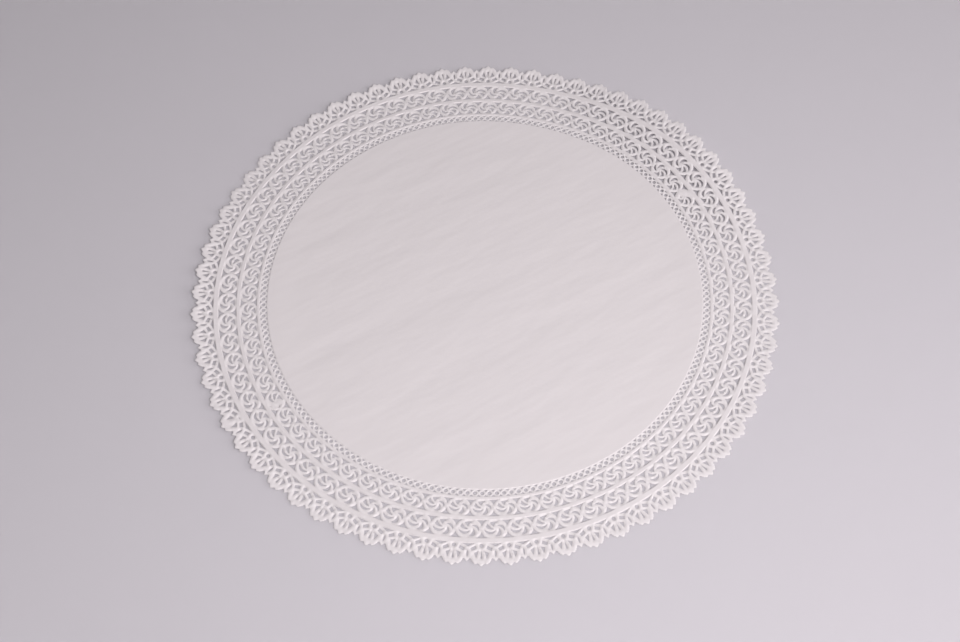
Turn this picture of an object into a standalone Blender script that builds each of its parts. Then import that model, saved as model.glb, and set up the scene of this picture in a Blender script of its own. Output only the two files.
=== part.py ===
"""Round lace doily: one flat sheet with a scalloped edge and two rings of openings, its rim a little lifted.

Units are metres, +Z is up, and the origin is the middle of the underside, where the sheet lies on the
surface. One repeat of the sheet, from the middle to the edge, is drawn flat, filled and spun round the
middle; the sheet is then thickened and laid. Within a repeat a place is a share of the repeat, from -0.5 to
0.5, and a radius.
"""

import math

import bmesh
import bpy

# Driving dimensions
tip_radius = 0.1800
sheet_thickness = 0.0010
repeats = 70

# The plain middle ends at centre_radius; the two rings of rosettes meet in a band
centre_radius = 0.1330
band_radius = 0.1512
# Rings of points across the plain middle, which let the sheet bend there
bend_radii = (0.0600, 0.0950, 0.1180)

# The gaps between neighbouring rosettes: triangles that stand on a band and point to the middle of the ring
inner_gaps = (
    {"base": 0.1400, "height": 0.0031, "half_width": 0.0026, "bulge": 0.0003},
    {"base": 0.1495, "height": -0.0031, "half_width": 0.0026, "bulge": 0.0003},
)
outer_gaps = (
    {"base": 0.1525, "height": 0.0033, "half_width": 0.0028, "bulge": 0.0003},
    {"base": 0.1629, "height": -0.0033, "half_width": 0.0028, "bulge": 0.0003},
)

# The scalloped edge from the tip of a fan to the leaf beside it, as a share of the repeat and a depth below
# the tip; the other half of the fan mirrors it
edge_points = {
    "tip": (0.0, 0.0),
    "notch": (0.105, 0.0014),
    "shoulder": (0.240, 0.0013),
    "valley": (0.395, 0.0047),
    "leaf_tip": (0.5, 0.0028),
}

# The repeats aren't quite even round the sheet. All are turned back by a share of a repeat, those opposite +X
# have drifted back by most_drift more, and all sway towards a direction in degrees
turn = 0.03
most_drift = 0.56
drift_power = 3.4
sway = 0.058
sway_direction = 163

# How the sheet lies, by the direction in degrees of the middle of a stretch of the rim: stretches that stand
# off the surface, that are drawn in towards the middle, and that are turned back by a share of a repeat
rim_lifts = (
    {"direction": 38, "spread": 36, "height": 0.0084, "from_radius": 0.118},
    {"direction": 76, "spread": 34, "height": 0.0019, "from_radius": 0.158},
    {"direction": 116, "spread": 34, "height": 0.0023, "from_radius": 0.158},
    {"direction": 176, "spread": 32, "height": 0.0028, "from_radius": 0.150},
    {"direction": 210, "spread": 24, "height": 0.0016, "from_radius": 0.145},
    {"direction": 328, "spread": 22, "height": 0.0010, "from_radius": 0.133},
)
rim_pulls = (
    {"direction": 70, "spread": 32, "depth": 0.0009, "from_radius": 0.060},
    {"direction": 92, "spread": 34, "depth": 0.0005, "from_radius": 0.148},
    {"direction": 138, "spread": 46, "depth": 0.0007, "from_radius": 0.148},
)
rim_slip = {"direction": 90, "spread": 60, "share": 0.07}

sheet_colour = (0.86, 0.84, 0.85, 1.0)
sheet_roughness = 0.75

repeat_angle = 2 * math.pi / repeats


def clear_scene():
    for obj in list(bpy.data.objects):
        bpy.data.objects.remove(obj, do_unlink=True)


def draw_loop(bm, places):
    """Draws a closed ring of edges through places and returns its edges."""
    points = [
        bm.verts.new((radius * math.cos(share * repeat_angle), radius * math.sin(share * repeat_angle), 0.0))
        for share, radius in places
    ]
    return [bm.edges.new(ends) for ends in zip(points, points[1:] + points[:1])]


def gap_outline(gap, share):
    """A gap's corners and the middles of its two sides, which bulge into it as the rosettes beside it do."""
    repeat_width = gap["base"] * repeat_angle
    half = gap["half_width"] / repeat_width
    side = half / 2 - gap["bulge"] / repeat_width
    middle, apex = gap["base"] + gap["height"] / 2, gap["base"] + gap["height"]
    return (
        (share - half, gap["base"]),
        (share + half, gap["base"]),
        (share + side, middle),
        (share, apex),
        (share - side, middle),
    )


def edge_outline():
    half = [(share, tip_radius - depth) for share, depth in edge_points.values()]
    return [(-share, radius) for share, radius in half[:0:-1]] + half


def fill_ring(bm, outline, gaps, share):
    """Fills one repeat of a ring of lace, with its gaps left open at that share of the repeat."""
    edges = draw_loop(bm, outline)
    for gap in gaps:
        edges += draw_loop(bm, gap_outline(gap, share))
    bmesh.ops.triangle_fill(bm, use_beauty=True, edges=edges)


def fill_plain_middle(bm):
    """Fills one repeat of the plain middle, outside the disc that closes it."""
    for low, high in zip(bend_radii, bend_radii[1:] + (centre_radius,)):
        edges = draw_loop(bm, ((0.0, low), (0.0, high), (1.0, high), (1.0, low)))
        bmesh.ops.contextual_create(bm, geom=edges)


def fill_disc(bm):
    inside = bend_radii[0] + 1e-5
    rim = [edge for edge in bm.edges if all(vert.co.xy.length < inside for vert in edge.verts)]
    bmesh.ops.contextual_create(bm, geom=rim)


def nearness(stretch, angle):
    """How near a direction is to the middle of a stretch of the rim: 1 there, 0 beyond its spread."""
    aside = abs((math.degrees(angle) - stretch["direction"] + 180) % 360 - 180) / stretch["spread"]
    return math.cos(aside * math.pi / 2) ** 2 if aside < 1 else 0.0


def share_out(stretch, radius):
    """How far a radius is from the start of a stretch to the tips of the fans."""
    return max(0.0, (radius - stretch["from_radius"]) / (tip_radius - stretch["from_radius"]))


def lay(point):
    """Moves a point of the drawn sheet to where it lies: turned back, drawn in and lifted at the rim."""
    radius, angle = point.xy.length, math.atan2(point.y, point.x)
    drift = turn + most_drift * abs(math.sin(angle / 2)) ** drift_power
    drift += rim_slip["share"] * nearness(rim_slip, angle)
    angle += repeat_angle * (sway * math.cos(angle - math.radians(sway_direction)) - drift)
    drawn_in = 0.0
    for pull in rim_pulls:
        out = share_out(pull, radius)
        drawn_in += pull["depth"] * nearness(pull, angle) * out**2 * (3 - 2 * out)
    for rise in rim_lifts:
        out = share_out(rise, radius)
        height = rise["height"] * nearness(rise, angle)
        point.z += height * out**1.5
        # the paper keeps its length, so what rises is drawn in
        drawn_in += 0.56 * (height * out) ** 2 / (tip_radius - rise["from_radius"])
    radius -= drawn_in
    point.x, point.y = radius * math.cos(angle), radius * math.sin(angle)


def thicken(bm):
    """Closes the flat sheet into a solid standing on the surface."""
    top = bmesh.ops.extrude_face_region(bm, geom=bm.faces[:])
    for item in top["geom"]:
        if isinstance(item, bmesh.types.BMVert):
            item.co.z += sheet_thickness
    bmesh.ops.recalc_face_normals(bm, faces=bm.faces[:])


def sheet_mesh():
    bm = bmesh.new()
    fill_plain_middle(bm)
    inner_foot = [(0.0, centre_radius), (1.0, centre_radius)]
    inner_head = [(1.0, band_radius), (0.5, band_radius), (0.0, band_radius)]
    fill_ring(bm, inner_foot + inner_head, inner_gaps, 0.5)
    outer_foot = [(0.5, band_radius), (0.0, band_radius), (-0.5, band_radius)]
    fill_ring(bm, outer_foot + edge_outline(), outer_gaps, 0.0)
    bmesh.ops.spin(
        bm,
        geom=bm.verts[:] + bm.edges[:] + bm.faces[:],
        axis=(0, 0, 1),
        angle=repeat_angle * (repeats - 1),
        steps=repeats - 1,
        use_duplicate=True,
    )
    bmesh.ops.remove_doubles(bm, verts=bm.verts[:], dist=1e-5)
    fill_disc(bm)
    bmesh.ops.triangulate(bm, faces=bm.faces[:])
    thicken(bm)
    for vert in bm.verts:
        lay(vert.co)
    mesh = bpy.data.meshes.new("doily")
    bm.to_mesh(mesh)
    bm.free()
    return mesh


def sheet_material():
    material = bpy.data.materials.new("white sheet")
    material.use_nodes = True
    shader = material.node_tree.nodes["Principled BSDF"]
    shader.inputs["Base Color"].default_value = sheet_colour
    shader.inputs["Roughness"].default_value = sheet_roughness
    return material


clear_scene()
doily = bpy.data.objects.new("doily", sheet_mesh())
doily.data.materials.append(sheet_material())
bpy.context.scene.collection.objects.link(doily)
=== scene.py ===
import math

import bmesh
import bpy
from mathutils import Matrix, Vector, noise


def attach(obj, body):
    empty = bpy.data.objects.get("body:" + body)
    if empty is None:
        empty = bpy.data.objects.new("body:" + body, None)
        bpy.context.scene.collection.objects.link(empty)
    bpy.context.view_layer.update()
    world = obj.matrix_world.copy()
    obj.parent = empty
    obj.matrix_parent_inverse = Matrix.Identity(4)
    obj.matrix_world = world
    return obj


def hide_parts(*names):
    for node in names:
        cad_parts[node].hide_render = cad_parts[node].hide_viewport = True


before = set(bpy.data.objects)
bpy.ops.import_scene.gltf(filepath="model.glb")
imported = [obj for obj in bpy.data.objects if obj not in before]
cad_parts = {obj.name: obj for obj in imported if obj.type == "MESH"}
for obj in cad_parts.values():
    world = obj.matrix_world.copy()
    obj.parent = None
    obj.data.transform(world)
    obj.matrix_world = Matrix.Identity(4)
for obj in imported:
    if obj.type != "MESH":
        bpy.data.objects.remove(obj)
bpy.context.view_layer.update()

scene = bpy.context.scene
millimetre = 0.001

# The camera and the lights stand in a room that is turned a little from the doily, about the doily's middle
roomTurn = math.radians(-2.25)
camera = {
    "lens": 57.13,
    "place": (-0.00324, -0.5029, 0.7892),
    "pitch": 31.41,
    "roll": -0.909,
}


def addCamera():
    cameraObject = bpy.data.objects.new("camera", bpy.data.cameras.new("camera"))
    cameraObject.data.lens = camera["lens"]
    room = Matrix.Rotation(roomTurn, 4, "Z")
    tilt = Matrix.Rotation(math.radians(camera["pitch"]), 4, "X")
    tilt = tilt @ Matrix.Rotation(math.radians(camera["roll"]), 4, "Z")
    cameraObject.matrix_world = room @ Matrix.Translation(camera["place"]) @ tilt
    scene.collection.objects.link(cameraObject)
    scene.camera = cameraObject


addCamera()

# The doily is one round sheet of paper, embossed and punched out as lace. Lengths are in millimetres,
# directions in degrees, and shares are of a repeat
doily = {
    "repeats": 70,
    "tipRadius": 180.0,
    "paperThickness": 0.15,
    "embossing": 0.56,     # how far the paper stands above the edges of its openings
    "slope": 0.5,          # how far from an opening's edge it reaches that height
    "rimRelief": 0.4,      # the height of the scalloped edge, as a part of the embossing
    "low": 0.5,            # paper below this part of it counts as an edge
    "stand": 0.05,         # how far the edges of the openings stand off the surface
    "oneCrest": 2.0,       # paper between two openings has one crest up to this width, and two beyond it
    "flatRise": 1.8,       # paper between an opening and a band has none up to this width
    "inset": 0.1,          # how far its openings are drawn in
    "longestStep": 1.95,   # of an edge drawn round an opening
    "flattening": 0.081,   # how far such an edge may cut a corner off its arc
    "bandSteps": 6,        # edges along a plain band, in a repeat
    "mergeWithin": 0.01,   # points that are nearer than this are one
    "turn": 0.03,          # the share that every repeat is turned back by
    "mostDrift": 0.56,     # the share that those opposite +X have drifted back by besides
    "driftPower": 3.4,
    "sway": 0.058,         # the share that those at swayDirection are turned on by, and those opposite back
    "swayDirection": 163,
    "liftPower": 1.5,      # how the lifted rim curves up
    "liftDraw": 0.56,      # the paper keeps its length, so what rises is drawn in
    "lifts": (             # stretches of the rim that stand off the surface
        {"direction": 38, "spread": 36, "height": 8.4, "fromRadius": 118},
        {"direction": 76, "spread": 34, "height": 1.9, "fromRadius": 158},
        {"direction": 116, "spread": 34, "height": 2.3, "fromRadius": 158},
        {"direction": 176, "spread": 32, "height": 2.8, "fromRadius": 150},
        {"direction": 210, "spread": 24, "height": 1.6, "fromRadius": 145},
        {"direction": 328, "spread": 22, "height": 1.0, "fromRadius": 133},
    ),
    "pulls": (             # stretches that are drawn in towards the middle
        {"direction": 70, "spread": 32, "depth": 0.9, "fromRadius": 60},
        {"direction": 92, "spread": 34, "depth": 0.5, "fromRadius": 148},
        {"direction": 138, "spread": 46, "depth": 0.7, "fromRadius": 148},
    ),
    "slip": {"direction": 90, "spread": 60, "share": 0.07},  # a stretch that is turned back
}
repeatAngle = 2 * math.pi / doily["repeats"]

# A place in a ring of lace is (aside, out): along the ring, and outwards from its circle. An opening is its
# corners, anticlockwise, each with how far the side that starts there bulges outwards
rosette = {
    "topCrescent": ((-5.35, 0.2, -1.05), (0.8, 0.8, 2.6)),
    "comma": ((-0.05, 4.05, -0.5), (2.3, -0.35, 0.55), (3.15, 3.2, 0.7)),
    "sideCrescent": ((1.1, -1.8, 2.05), (5.0, 1.4, -0.6)),
    "footHole": ((-2.5, -3.75, 0.25), (2.0, -4.0, -0.4), (-0.5, -1.2, 0.3)),
    "leftHole": ((-4.65, -1.1, 0.15), (-3.55, -3.1, -0.35), (-0.45, 0.25, 0.75)),
}
gapsBetween = {
    "topGap": ((0, 1.5, -0.5), (2.95, 5.08, 0), (-2.95, 5.08, -0.5)),
    "footGap": ((0, -1.35, -0.5), (-2.95, -4.83, 0), (2.95, -4.83, -0.5)),
}
eyelets = 3  # of the lattice, in a repeat
lattice = {
    "eyelet": ((-1.22, 0, 1.22), (1.22, 0, 1.22)),
    "topGap": ((2.06, 0.75, -0.12), (3.28, 2.05, 0), (0.84, 2.05, -0.12)),
    "footGap": ((2.06, -0.75, -0.12), (0.86, -2.1, 0), (3.26, -2.1, -0.12)),
}
fan = {
    "eyelet": ((-1.32, 0, 1.32), (1.32, 0, 1.32)),
    "middlePetal": ((0, 2.7, 0.03), (0.62, 7.35, 0.65), (-0.62, 7.35, 0.03)),
    "sidePetal": ((1.45, 2.95, 0), (4.15, 4.25, 0.05), (2.75, 7.55, 0.05)),
    "footPetal": ((2.62, 1.85, 0), (3.27, -0.22, 0), (6.2, 1.47, 0), (5.38, 3.25, 0)),
}
leaf = {
    "lens": ((0, 2.35, 0.66), (0, 7.05, 0.66)),
    "footGap": ((0, 0.55, -0.12), (-3.65, -1.4, 0), (3.65, -1.4, -0.12)),
}
# The crest along the left of a repeat, where the one before it joins on
rosetteSide = (
    (-3.1, -4.7), (-3.95, -3.75), (-4.8, -2.6), (-5.7, -1.4), (-5.95, 0.1), (-5.75, 1.5), (-4.85, 3.1),
    (-3.5, 4.4),
)
latticeSide = ((-0.2, -2.05), (-1.25, -1.2), (-2.05, 0.0), (-1.25, 1.2), (-0.2, 2.05))
fanSide = ((-3.75, -1.0), (-5.3, 0.05), (-6.75, 1.05), (-6.6, 2.4), (-6.0, 3.9), (-5.75, 5.4))
# The scalloped edge, from the tip of a fan to its valley and from there to the tip of a leaf
fanEdge = (
    (0, 12.3), (0.75, 11.75), (1.25, 11.0), (1.9, 10.5), (3.0, 11.1), (3.65, 10.75), (3.9, 10.15),
    (4.5, 9.95), (4.6, 9.2), (5.1, 8.95), (5.2, 8.1), (5.95, 7.5),
)
leafEdge = ((6.75, 8.3), (7.53, 9.4), (8.31, 8.3), (9.11, 7.5))

# Places in a ring are measured from its circle, and multiplied by its size. The plain bands lie between one
# ring's head and the next one's foot
rings = {
    "lattice": {"circle": 135.8, "size": 1.0, "foot": 133.2, "head": 138.3},
    "inner": {"circle": 144.7, "size": 1.0, "foot": 139.4, "head": 150.3},
    "outer": {"circle": 157.62, "size": 1.09, "foot": 151.9, "head": 163.6},
    "fans": {"circle": 167.8, "size": 1.0, "foot": 165.9},
}
# How much painted highlight the paper gets along its embossed crests, from 0 to 1
paintedHighlights = {
    "narrow": 1.0,         # along the middle of narrow paper
    "wide": 0.35,          # along both sides of wider paper
    "rise": 0.6,           # between an opening and a plain band
    "join": 1.0,           # where a repeat joins the next
    "rosetteJoin": 0.4,    # where two rosettes lie side by side, up to sideBySide from their circle
    "sideBySide": 2.0,
    "foot": 0.6,           # on a ring's inner circle, under the gaps between rosettes and under the leaves
    "rim": 0.2,
}


def onCircle(radius, share):
    angle = share * repeatAngle
    return Vector((radius * math.cos(angle), radius * math.sin(angle), 0))


def inRing(ring, share, place):
    aside, out = place[0] * ring["size"], place[1] * ring["size"]
    return onCircle(ring["circle"] + out, share + aside / (ring["circle"] * repeatAngle))


def mirrored(opening):
    ends = opening[1:] + opening[:1]
    return tuple((-end[0], end[1], start[2]) for start, end in reversed(list(zip(opening, ends))))


nearlyStraight = 0.02  # a side whose arc has less than this angle, in radians, is drawn straight


# The points along one side of an opening: an arc that rises to bulge above its chord, without its far end
def sidePoints(start, end, bulge):
    chord = Vector(end) - Vector(start)
    half = 2 * math.atan2(2 * abs(bulge), chord.length)  # half the angle of the arc
    if half < nearlyStraight:
        steps = max(1, round(chord.length / doily["longestStep"]))
        return [Vector(start) + chord * step / steps for step in range(steps)]
    radius = chord.length / (2 * math.sin(half))
    turn = 2 * math.acos(1 - doily["flattening"] / radius)
    steps = max(1, round(2 * half / turn), round(2 * half * radius / doily["longestStep"]))
    along = chord.normalized()
    outwards = Vector((along.y, -along.x)) * math.copysign(1, bulge)
    middle = Vector(start) + chord / 2 - outwards * radius * math.cos(half)
    angles = [half * (2 * step / steps - 1) for step in range(steps)]
    return [middle + (outwards * math.cos(a) + along * math.sin(a)) * radius for a in angles]


# The points round an opening, drawn in a little: its edge is bent down, so it looks smaller than its punch
def openingPoints(opening):
    ends = opening[1:] + opening[:1]
    points = [point for a, b in zip(opening, ends) for point in sidePoints(a[:2], b[:2], a[2])]
    drawn = []
    for before, point, after in zip(points[-1:] + points, points, points[1:] + points[:1]):
        first, second = (point - before).normalized(), (after - point).normalized()
        inwards = Vector((-first.y - second.y, first.x + second.x))
        reach = max(1 + first.dot(second), 0.5)  # at a sharp corner the inset is held back
        drawn.append(point + inwards * doily["inset"] / reach)
    return drawn


# Draws a closed loop of edges. Its points' relief is 0 beside an opening and 1 where the paper is high. Each
# point also carries how much painted highlight it gets
def drawLoop(bm, points, reliefs, highlights=None):
    relief, crestHighlight = bm.verts.layers.float["relief"], bm.verts.layers.float["crestHighlight"]
    verts = [bm.verts.new(point * millimetre) for point in points]
    for vert, height, highlight in zip(verts, reliefs, highlights or [0.0] * len(verts)):
        vert[relief], vert[crestHighlight] = height, highlight
    return [bm.edges.new(ends) for ends in zip(verts, verts[1:] + verts[:1])]


def circlePoints(radius, first, last, parts):
    return [onCircle(radius, first + (last - first) * step / parts) for step in range(parts + 1)]


# Fills one repeat of a ring of lace round its openings. The side of a rosette or a fan leans, so the circles
# next to it start a step earlier
def fillLace(bm, ring, share, openings, side, edge=None):
    steps = doily["bandSteps"]
    first = share if side is latticeSide else share - 1 / steps
    left = [inRing(ring, share, place) for place in side]
    right = [inRing(ring, share + 1, place) for place in side]
    foot = circlePoints(ring["foot"], first, first + 1, steps)
    if edge:
        head = [inRing(ring, share, place) for place in edge]
        headRelief, headHighlight = doily["rimRelief"], paintedHighlights["rim"]
    else:
        head = circlePoints(ring["head"], first, first + 1, steps)
        headRelief, headHighlight = 1.0, 0.0
    outline = foot + right + head[::-1] + left[::-1]
    reliefs = [1.0] * len(foot + right) + [headRelief] * len(head) + [1.0] * len(left)
    highlights = footHighlights(side) + sideHighlights(side) + [headHighlight] * len(head) + sideHighlights(side)[::-1]
    edges = drawLoop(bm, outline, reliefs, highlights)
    for openingShare, opening in openings:
        points = [inRing(ring, openingShare, point) for point in openingPoints(opening)]
        edges += drawLoop(bm, points, [0.0] * len(points))
    filled = bmesh.ops.triangle_fill(bm, use_beauty=True, edges=edges)["geom"]
    emboss(bm, [item for item in filled if isinstance(item, bmesh.types.BMEdge)])


# The painted highlight along a ring's foot circle and along the sides of a repeat
def footHighlights(side):
    highlights = [0.0] * (doily["bandSteps"] + 1)
    middle = doily["bandSteps"] // 2
    if side is not latticeSide:
        highlights[middle:middle + 3] = [paintedHighlights["foot"]] * 3
    return highlights


def sideHighlights(side):
    if side is not rosetteSide:
        return [paintedHighlights["join"]] * len(side)
    near = [abs(out) < paintedHighlights["sideBySide"] for aside, out in side]
    return [paintedHighlights["rosetteJoin"] if isNear else paintedHighlights["join"] for isNear in near]


def lowEnds(edge, relief):
    return sum(vert[relief] < doily["low"] for vert in edge.verts)


# Cuts the edges that cross the paper between openings, and raises the points that this makes. Each new point
# also gets its painted highlight
def emboss(bm, edges):
    relief, crestHighlight = bm.verts.layers.float["relief"], bm.verts.layers.float["crestHighlight"]
    unset = -1.0  # the relief of a new point until its height is worked out
    inner = [edge for edge in edges if edge.is_valid and not edge.is_boundary]
    between = [edge for edge in inner if lowEnds(edge, relief) == 2]
    wide = [edge for edge in between if edge.calc_length() > doily["oneCrest"] * millimetre]
    narrow = [edge for edge in between if edge not in wide]
    rising = [edge for edge in inner if lowEnds(edge, relief) == 1]
    rising = [edge for edge in rising if edge.calc_length() > doily["flatRise"] * millimetre]
    for name, chosen, cuts in (("wide", wide, 2), ("narrow", narrow, 1), ("rise", rising, 1)):
        for item in bmesh.ops.subdivide_edges(bm, edges=chosen, cuts=cuts)["geom_inner"]:
            if isinstance(item, bmesh.types.BMVert):
                item[relief], item[crestHighlight] = unset, paintedHighlights[name]
    for vert in bm.verts:
        if vert[relief] == unset:
            reach = [edge.calc_length() for edge in vert.link_edges if edge.other_vert(vert)[relief] == 0.0]
            vert[relief] = min(1.0, min(reach) / (doily["slope"] * millimetre)) if reach else 1.0


def fillBand(bm, low, high, lowSteps=doily["bandSteps"]):
    outline = circlePoints(low, 0, 1, lowSteps) + circlePoints(high, 0, 1, doily["bandSteps"])[::-1]
    bmesh.ops.triangle_fill(bm, use_beauty=True, edges=drawLoop(bm, outline, [1.0] * len(outline)))


def newSheet():
    bm = bmesh.new()
    bm.verts.layers.float.new("relief")
    bm.verts.layers.float.new("crestHighlight")
    return bm


# The plain middle lies a little off the surface, with faint waves and a few creases. It comes down to the
# lace between two radii, and up to the embossing between two others
plainMiddle = {
    "radius": 126.0,
    "steps": 19,           # from the middle to its edge
    "spokes": 2,           # edges round it, in a repeat
    "rise": 0.42,          # how far it lies off the surface
    "leastRise": 0.02,     # also of the lace
    "waves": 0.2,          # how high they are at most
    "along": 0.012,        # how many there are to a millimetre lengthwise, and across
    "across": 0.05,
    "lean": 0.45,          # how far they run towards +Y for each step towards +X
    "pattern": 3.7,        # another number gives other waves
    "laceFrom": 114,
    "laceFull": 134,
    "embossedFrom": 118,
    "embossedFull": 130,
    "creases": (           # soft troughs from one end to the other
        {"ends": ((-80, 54), (24, 93)), "width": 6, "depth": 0.33},
        {"ends": ((-125, 33), (-82, 56)), "width": 6, "depth": 0.3},
        {"ends": ((-124, 10), (-45, 46)), "width": 6.5, "depth": 0.3},
        {"ends": ((-120, -54), (18, 18)), "width": 7, "depth": 0.34},
        {"ends": ((-60, -78), (62, -13)), "width": 6.5, "depth": 0.32},
        {"ends": ((-95, -102), (-10, -78)), "width": 6, "depth": 0.2},
        {"ends": ((-42, -117), (16, -89)), "width": 6, "depth": 0.26},
        {"ends": ((52, -36), (92, -28)), "width": 6, "depth": 0.2},
        {"ends": ((66, -9), (128, 25)), "width": 6, "depth": 0.26},
    ),
}


# One repeat of the lace, from the plain middle to the scalloped edge
def drawRepeat(innerRosette=rosette, outerRosette=rosette, fanOpenings=fan):
    bm = newSheet()
    openings = [(number / eyelets, opening) for number in range(eyelets) for opening in lattice.values()]
    fillLace(bm, rings["lattice"], 0, openings, latticeSide)
    openings = [(0, opening) for opening in innerRosette.values()]
    openings += [(0.5, opening) for opening in gapsBetween.values()]
    fillLace(bm, rings["inner"], 0, openings, rosetteSide)
    openings = [(0.5, opening) for opening in outerRosette.values()]
    openings += [(1, opening) for opening in gapsBetween.values()]
    fillLace(bm, rings["outer"], 0.5, openings, rosetteSide)
    openings = [(0, opening) for opening in fanOpenings.values()]
    openings += [(0, mirrored(fanOpenings[name])) for name in ("sidePetal", "footPetal")]
    openings += [(0.5, opening) for opening in leaf.values()]
    edge = [(-aside, out) for aside, out in fanEdge[:0:-1]] + list(fanEdge + leafEdge)
    fillLace(bm, rings["fans"], 0, openings, fanSide, edge)
    fillBand(bm, plainMiddle["radius"], rings["lattice"]["foot"], plainMiddle["spokes"])
    fillBand(bm, rings["lattice"]["head"], rings["inner"]["foot"])
    fillBand(bm, rings["inner"]["head"], rings["outer"]["foot"])
    fillBand(bm, rings["outer"]["head"], rings["fans"]["foot"])
    mesh = bpy.data.meshes.new("repeat")
    bm.to_mesh(mesh)
    triangles = sum(len(face.verts) - 2 for face in bm.faces)
    print("one repeat:", len(bm.verts), "points,", triangles, "triangles")
    bm.free()
    return mesh


# The die has two joints, where it closed badly: some openings beside them are partly cut or not at all
def jointRepeats():
    firstRosette = dict(rosette, sideCrescent=((1.3, -2.0, 0.5), (2.7, -1.3, 0.45)))
    del firstRosette["comma"]
    secondRosette = dict(
        rosette,
        comma=((1.5, 4.6, 0.2), (2.7, 4.2, 0.3)),
        sideCrescent=((4.0, -0.9, 0.6), (5.1, 0.9, -0.1)),
    )
    blurredFan = dict(fan, eyelet=((-1.1, 0.5, 0.3), (1.2, 0.2, 0.3)))
    del blurredFan["middlePetal"]
    return {5: drawRepeat(firstRosette), 41: drawRepeat(secondRosette, rosette, blurredFan)}


def joinRepeats():
    regular, atJoints = drawRepeat(), jointRepeats()
    bm = newSheet()
    for number in range(doily["repeats"]):
        known = len(bm.verts)  # the points of the repeats before
        bm.from_mesh(atJoints.get(number, regular))
        bm.verts.ensure_lookup_table()
        turned = Matrix.Rotation(number * repeatAngle, 3, "Z")
        bmesh.ops.rotate(bm, verts=bm.verts[known:], cent=(0, 0, 0), matrix=turned)
    return bm


# The plain middle is a straight row of edges, spun right round
def spinMiddle(bm):
    relief = bm.verts.layers.float["relief"]
    steps = plainMiddle["steps"]
    radii = [plainMiddle["radius"] * step / steps for step in range(steps + 1)]
    row = [bm.verts.new(onCircle(radius, 0) * millimetre) for radius in radii]
    for vert in row:
        vert[relief] = 1.0
    edges = [bm.edges.new(ends) for ends in zip(row, row[1:])]
    turn = {"angle": 2 * math.pi, "steps": plainMiddle["spokes"] * doily["repeats"], "use_merge": True}
    bmesh.ops.spin(bm, geom=row + edges, cent=(0, 0, 0), axis=(0, 0, 1), **turn)


def creaseDepth(crease, x, y):
    start, end = (Vector(place) for place in crease["ends"])
    along = (end - start).normalized()
    middle = (start + end) / 2
    offset = Vector((x, y)) - middle
    aside = (along.x * offset.y - along.y * offset.x) / crease["width"]
    lengthwise = offset.dot(along) / ((end - start).length / 2)
    return crease["depth"] * math.exp(-aside**2) * math.exp(-lengthwise**4)


# From 0 at the first value to 1 at the second, with level ends
def smoothStep(low, high, value):
    share = min(1.0, max(0.0, (value - low) / (high - low)))
    return share * share * (3 - 2 * share)


# How far the paper's underside is above the surface, before the rim is lifted
def paperHeight(x, y, relief):
    radius = math.hypot(x, y)
    along = (x + y / 2) * plainMiddle["along"]
    across = (y - x * plainMiddle["lean"]) * plainMiddle["across"]
    waves = plainMiddle["waves"] * noise.noise(Vector((along, across, plainMiddle["pattern"])))
    dips = sum(creaseDepth(crease, x, y) for crease in plainMiddle["creases"])
    lace = smoothStep(plainMiddle["laceFrom"], plainMiddle["laceFull"], radius)
    embossed = smoothStep(plainMiddle["embossedFrom"], plainMiddle["embossedFull"], radius)
    height = max(plainMiddle["leastRise"], (1 - lace) * (plainMiddle["rise"] + waves - dips))
    return height + lace * doily["stand"] + embossed * doily["embossing"] * relief


# How near a direction is to the middle of a stretch of the rim: 1 there, 0 beyond its spread
def nearness(stretch, angle):
    aside = abs((math.degrees(angle) - stretch["direction"] + 180) % 360 - 180) / stretch["spread"]
    return math.cos(aside * math.pi / 2) ** 2 if aside < 1 else 0.0


# Moves a point of the flat sheet to where it lies: embossed, turned with its repeat and lifted at the rim
def lay(vert, relief):
    x, y = vert.co.x / millimetre, vert.co.y / millimetre
    radius, angle = math.hypot(x, y), math.atan2(y, x)
    drift = doily["mostDrift"] * abs(math.sin(angle / 2)) ** doily["driftPower"] + doily["turn"]
    drift += doily["slip"]["share"] * nearness(doily["slip"], angle)
    sway = doily["sway"] * math.cos(angle - math.radians(doily["swayDirection"]))
    angle += repeatAngle * (sway - drift)
    z = paperHeight(x, y, vert[relief])
    drawnIn = sum(
        pull["depth"] * nearness(pull, angle) * smoothStep(pull["fromRadius"], doily["tipRadius"], radius)
        for pull in doily["pulls"]
    )
    for rise in doily["lifts"]:
        span = doily["tipRadius"] - rise["fromRadius"]
        out = (radius - rise["fromRadius"]) / span
        if out > 0:
            height = rise["height"] * nearness(rise, angle)
            z += height * out ** doily["liftPower"]
            drawnIn += doily["liftDraw"] * (height * out) ** 2 / span
    radius -= drawnIn
    vert.co = Vector((radius * math.cos(angle), radius * math.sin(angle), z)) * millimetre


# The plain bands have crisp edges, where the paper bends down to the openings. Both ends of such an edge
# are on the same circle
def creaseBands(bm):
    circles = {ring[end] for ring in rings.values() for end in ("foot", "head") if end in ring}
    for edge in bm.edges:
        radii = {round(vert.co.length / millimetre, 1) for vert in edge.verts}
        edge.smooth = len(radii) == 2 or not radii <= circles


def isUpright(edge):
    return edge.verts[0].co.xy == edge.verts[1].co.xy


# Gives the sheet the paper's thickness. The edges of the cut paper are crisp too
def thicken(bm):
    top = bmesh.ops.extrude_face_region(bm, geom=bm.faces[:])["geom"]
    points = [item for item in top if isinstance(item, bmesh.types.BMVert)]
    bmesh.ops.translate(bm, verts=points, vec=(0, 0, doily["paperThickness"] * millimetre))
    walls = {face for edge in bm.edges if isUpright(edge) for face in edge.link_faces}
    for wall in walls:
        for edge in wall.edges:
            edge.smooth = isUpright(edge)


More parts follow.
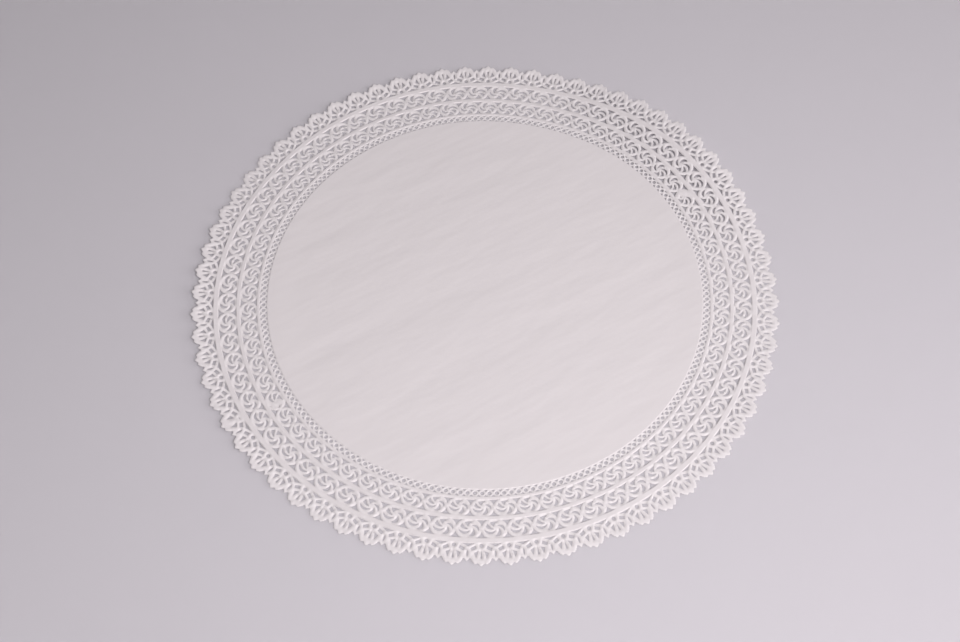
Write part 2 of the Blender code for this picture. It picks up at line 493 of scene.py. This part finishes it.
def makeDoily():
    bm = joinRepeats()
    spinMiddle(bm)
    bmesh.ops.remove_doubles(bm, verts=bm.verts[:], dist=doily["mergeWithin"] * millimetre)
    creaseBands(bm)
    relief = bm.verts.layers.float["relief"]
    for vert in bm.verts:
        lay(vert, relief)
    bmesh.ops.recalc_face_normals(bm, faces=bm.faces[:])
    area = sum(face.calc_area() for face in bm.faces)
    thicken(bm)
    bmesh.ops.recalc_face_normals(bm, faces=bm.faces[:])
    mesh = bpy.data.meshes.new("laceDoily")
    bm.to_mesh(mesh)
    bm.free()
    mesh.shade_smooth()
    triangles = sum(len(face.vertices) - 2 for face in mesh.polygons)
    print("doily:", triangles, "triangles,", round(area, 4), "square metres")
    piece = bpy.data.objects.new("laceDoily", mesh)
    scene.collection.objects.link(piece)
    return piece


laceDoily = makeDoily()


# The paper is white and unglazed, with fine fibres and faint streaks, and a painted highlight along its
# embossed crests. Lengths are in millimetres
paper = {
    "plain": (0.915, 0.893, 0.886, 1),
    "shade": (0.898, 0.875, 0.869, 1),
    "crestHighlight": (1.0, 0.985, 0.978, 1),  # painted highlight, drawn on the embossed crests
    "through": 0.16,       # the share of the light that passes through the sheet
    "roughness": 0.5,
    "clouds": {"scale": 60, "detail": 6},
    "fibres": {"scale": 1400, "detail": 4, "height": 0.035},
    "streaks": {"scale": 85, "detail": 2, "height": 0.5, "direction": 26, "squeeze": 0.28},
}


def newMaterial(name):
    material = bpy.data.materials.new(name)
    material.use_nodes = True
    nodes = material.node_tree.nodes
    return material, nodes, material.node_tree.links, nodes["Principled BSDF"]


def addMix(nodes, links, factor, low, high):
    mix = nodes.new("ShaderNodeMix")
    mix.data_type = "RGBA"
    links.new(factor, mix.inputs["Factor"])
    for socket, value in (("A", low), ("B", high)):
        if isinstance(value, tuple):
            mix.inputs[socket].default_value = value
        else:
            links.new(value, mix.inputs[socket])
    return mix.outputs["Result"]


def addNoise(nodes, links, vector, grain):
    texture = nodes.new("ShaderNodeTexNoise")
    texture.inputs["Scale"].default_value = grain["scale"]
    texture.inputs["Detail"].default_value = grain["detail"]
    links.new(vector, texture.inputs["Vector"])
    return texture.outputs["Fac"]


def addBump(nodes, links, vector, grain):
    bump = nodes.new("ShaderNodeBump")
    bump.inputs["Strength"].default_value = 1.0
    bump.inputs["Distance"].default_value = grain["height"] * millimetre
    links.new(addNoise(nodes, links, vector, grain), bump.inputs["Height"])
    return bump


# Object coordinates turned to lie along the streaks, and squeezed so that a pattern is drawn out along them
def addStreakPlace(nodes, links, place):
    along = nodes.new("ShaderNodeVectorRotate")
    along.rotation_type = "Z_AXIS"
    along.inputs["Angle"].default_value = math.radians(-paper["streaks"]["direction"])
    links.new(place, along.inputs["Vector"])
    squeezed = nodes.new("ShaderNodeVectorMath")
    squeezed.operation = "MULTIPLY"
    squeezed.inputs[1].default_value = (paper["streaks"]["squeeze"], 1, 1)
    links.new(along.outputs["Vector"], squeezed.inputs[0])
    return squeezed.outputs["Vector"]


def paperMaterial():
    material, nodes, links, shader = newMaterial("embossed paper")
    shader.inputs["Roughness"].default_value = paper["roughness"]
    place = nodes.new("ShaderNodeTexCoord").outputs["Object"]
    crestHighlight = nodes.new("ShaderNodeAttribute")
    crestHighlight.attribute_name = "crestHighlight"
    clouds = addNoise(nodes, links, place, paper["clouds"])
    flat = addMix(nodes, links, clouds, paper["shade"], paper["plain"])
    # Painted highlight: the crests are mixed towards the crest white
    colour = addMix(nodes, links, crestHighlight.outputs["Fac"], flat, paper["crestHighlight"])
    links.new(colour, shader.inputs["Base Color"])
    streaks = addBump(nodes, links, addStreakPlace(nodes, links, place), paper["streaks"])
    fibres = addBump(nodes, links, place, paper["fibres"])
    links.new(streaks.outputs["Normal"], fibres.inputs["Normal"])
    links.new(fibres.outputs["Normal"], shader.inputs["Normal"])
    through = nodes.new("ShaderNodeBsdfTranslucent")
    through.inputs["Color"].default_value = (1, 1, 1, 1)
    both = nodes.new("ShaderNodeMixShader")
    both.inputs["Fac"].default_value = paper["through"]
    links.new(shader.outputs["BSDF"], both.inputs[1])
    links.new(through.outputs["BSDF"], both.inputs[2])
    links.new(both.outputs["Shader"], nodes["Material Output"].inputs["Surface"])
    return material


laceDoily.data.materials.append(paperMaterial())
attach(laceDoily, "root")
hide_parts("doily")
print("paper done")

# The surface lets light in a little way, so it is darker in the openings, where some is lost under the paper
floorLook = {
    "size": 3.0,
    "drop": 0.1 * millimetre,
    "colour": (0.635, 0.627, 0.651, 1),
    "roughness": 0.9,
    "glow": 7 * millimetre,
    "glowShare": 0.38,
}


def addFloor():
    bm = bmesh.new()
    bmesh.ops.create_grid(bm, x_segments=1, y_segments=1, size=floorLook["size"])
    bmesh.ops.translate(bm, verts=bm.verts[:], vec=(0, 0, -floorLook["drop"]))
    mesh = bpy.data.meshes.new("floor")
    bm.to_mesh(mesh)
    bm.free()
    material, nodes, links, shader = newMaterial("pale backdrop")
    shader.inputs["Base Color"].default_value = floorLook["colour"]
    shader.inputs["Roughness"].default_value = floorLook["roughness"]
    shader.subsurface_method = "BURLEY"
    shader.inputs["Subsurface Weight"].default_value = floorLook["glowShare"]
    shader.inputs["Subsurface Radius"].default_value = (1, 1, 1)
    shader.inputs["Subsurface Scale"].default_value = floorLook["glow"]
    mesh.materials.append(material)
    floor = bpy.data.objects.new("floor", mesh)
    scene.collection.objects.link(floor)


addFloor()

# Two soft lamps that face the doily, and an even room
lights = {
    "softbox": {"place": (0.31, -0.61, 1.06), "size": 0.5, "power": 11.6},
    "side": {"place": (2.55, -0.55, 0.85), "size": 1.3, "power": 26.0},
}
lightColour = (1.0, 0.94, 0.975)
skyBrightness = 0.19


def addLight(name, look):
    data = bpy.data.lights.new(name, "AREA")
    data.shape = "SQUARE"
    data.size = look["size"]
    data.energy = look["power"]
    data.color = lightColour
    lamp = bpy.data.objects.new(name, data)
    place = Matrix.Rotation(roomTurn, 3, "Z") @ Vector(look["place"])
    lamp.matrix_world = Matrix.Translation(place) @ place.to_track_quat("Z", "Y").to_matrix().to_4x4()
    scene.collection.objects.link(lamp)


for name, look in lights.items():
    addLight(name, look)
world = bpy.data.worlds.new("room")
world.use_nodes = True
world.node_tree.nodes["Background"].inputs["Color"].default_value = (*lightColour, 1)
world.node_tree.nodes["Background"].inputs["Strength"].default_value = skyBrightness
scene.world = world
scene.view_settings.view_transform = "Standard"
print("room done")
